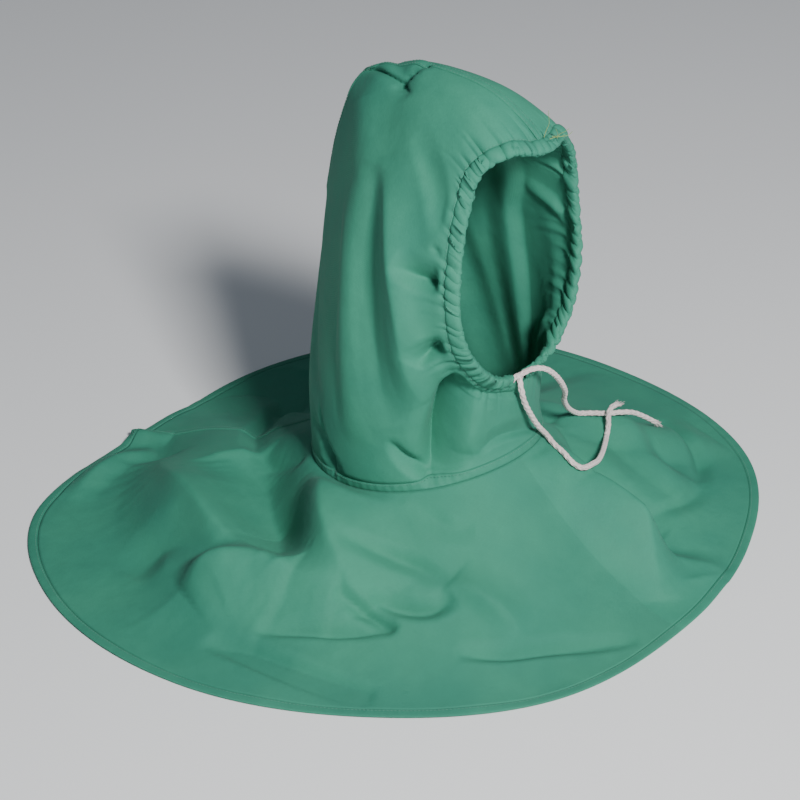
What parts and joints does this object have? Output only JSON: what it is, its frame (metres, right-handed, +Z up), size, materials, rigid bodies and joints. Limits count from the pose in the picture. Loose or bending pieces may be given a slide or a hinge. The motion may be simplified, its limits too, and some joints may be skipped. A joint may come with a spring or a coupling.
{
  "type": "welding hood",
  "caption": "Cloth welding hood with a drawstring face opening, sewn to a wide round cape that covers the shoulders.",
  "frame": {"origin": "inside of the crown, on the centre line, where the top of the wearer's head sits", "axes": "+Z up the standing wearer, -Y the way the face looks, +X the wearer's left"},
  "size_m": [0.6693, 0.5878, 0.4455],
  "materials": {
    "green_cloth": "close-woven green cotton sateen, matt with a faint sheen along its folds",
    "seam_cloth": "the same green cotton doubled and stitched, puckered along its thread lines",
    "white_cord": "twisted white cotton cord, soft and matt, frayed at its cut ends"
  },
  "bodies": {
    "root": {"hood": "green_cloth", "crown_seam": "seam_cloth", "face_casing": "seam_cloth", "neck_seam": "seam_cloth", "cape": "green_cloth", "cape_back_seam": "seam_cloth", "cape_hem": "seam_cloth", "drawstring": "white_cord", "cord_end_right": "white_cord", "cord_end_left": "white_cord"}
  },
  "joints": []
}
